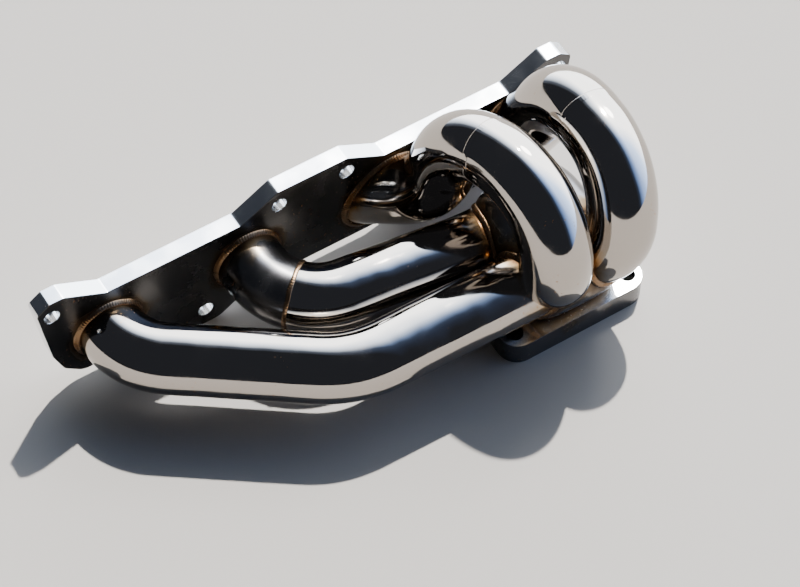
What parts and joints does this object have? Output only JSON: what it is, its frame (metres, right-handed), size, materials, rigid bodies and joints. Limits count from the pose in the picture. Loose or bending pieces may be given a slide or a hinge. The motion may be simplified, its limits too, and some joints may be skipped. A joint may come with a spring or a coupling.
{
  "type": "exhaust manifold",
  "caption": "Welded tubular turbo exhaust manifold: scalloped head flange, four bent stainless runners, domed collector and square turbine flange.",
  "frame": {"origin": "under the middle of the whole part, level with the turbine flange's sealing face", "axes": "+X along the head flange towards port 4, +Y towards the engine, +Z away from the turbine"},
  "size_m": [0.3784, 0.1598, 0.1525],
  "materials": {
    "polished_tube": "mirror-polished stainless tube",
    "satin_tube": "part-polished stainless, heat-tinted near the welds",
    "flange_plate": "polished stainless plate",
    "weld_bead": "rippled weld bead, straw to brown heat tint"
  },
  "bodies": {
    "root": {"runner_1": "polished_tube", "runner_2_collector_leg": "polished_tube", "runner_3_port_bend": "polished_tube", "runner_3_collector_leg": "polished_tube", "runner_4_port_bend": "polished_tube", "runner_4_collector_leg": "polished_tube", "runner_2_port_bend": "satin_tube", "collector": "satin_tube", "head_flange": "flange_plate", "turbine_flange": "flange_plate", "port_weld_1": "weld_bead", "port_weld_2": "weld_bead", "port_weld_3": "weld_bead", "port_weld_4": "weld_bead", "collector_weld_3_4": "weld_bead", "collector_weld_1": "weld_bead", "collector_weld_2": "weld_bead", "turbine_weld": "weld_bead", "runner_2_butt_weld": "weld_bead", "runner_3_butt_weld": "weld_bead", "runner_4_butt_weld": "weld_bead"}
  },
  "joints": []
}
